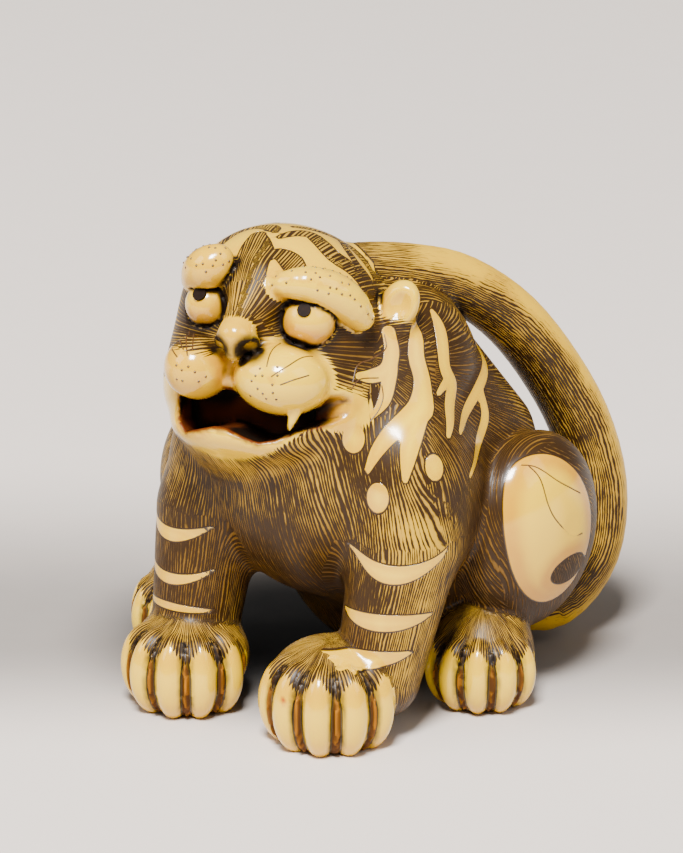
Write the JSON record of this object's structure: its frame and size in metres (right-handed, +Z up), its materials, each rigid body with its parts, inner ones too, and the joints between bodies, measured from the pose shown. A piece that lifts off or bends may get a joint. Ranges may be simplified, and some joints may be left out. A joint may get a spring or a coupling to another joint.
{
  "type": "netsuke",
  "caption": "Seated tiger netsuke in stained, engraved ivory, head turned up, tail arched clear of its back, dark inlaid pupils.",
  "frame": {"origin": "on the surface the tiger sits on, under the middle of its bounding box", "axes": "+X to the tiger's own left, +Y towards its back and tail, +Z up"},
  "size_m": [0.0276, 0.032, 0.0298],
  "materials": {
    "ivory": "hand-polished ivory, engraved fur stained dark brown, pale stripes left in reserve",
    "horn": "polished dark horn"
  },
  "bodies": {
    "root": {"tiger": "ivory", "left_pupil": "horn", "right_pupil": "horn"}
  },
  "joints": []
}
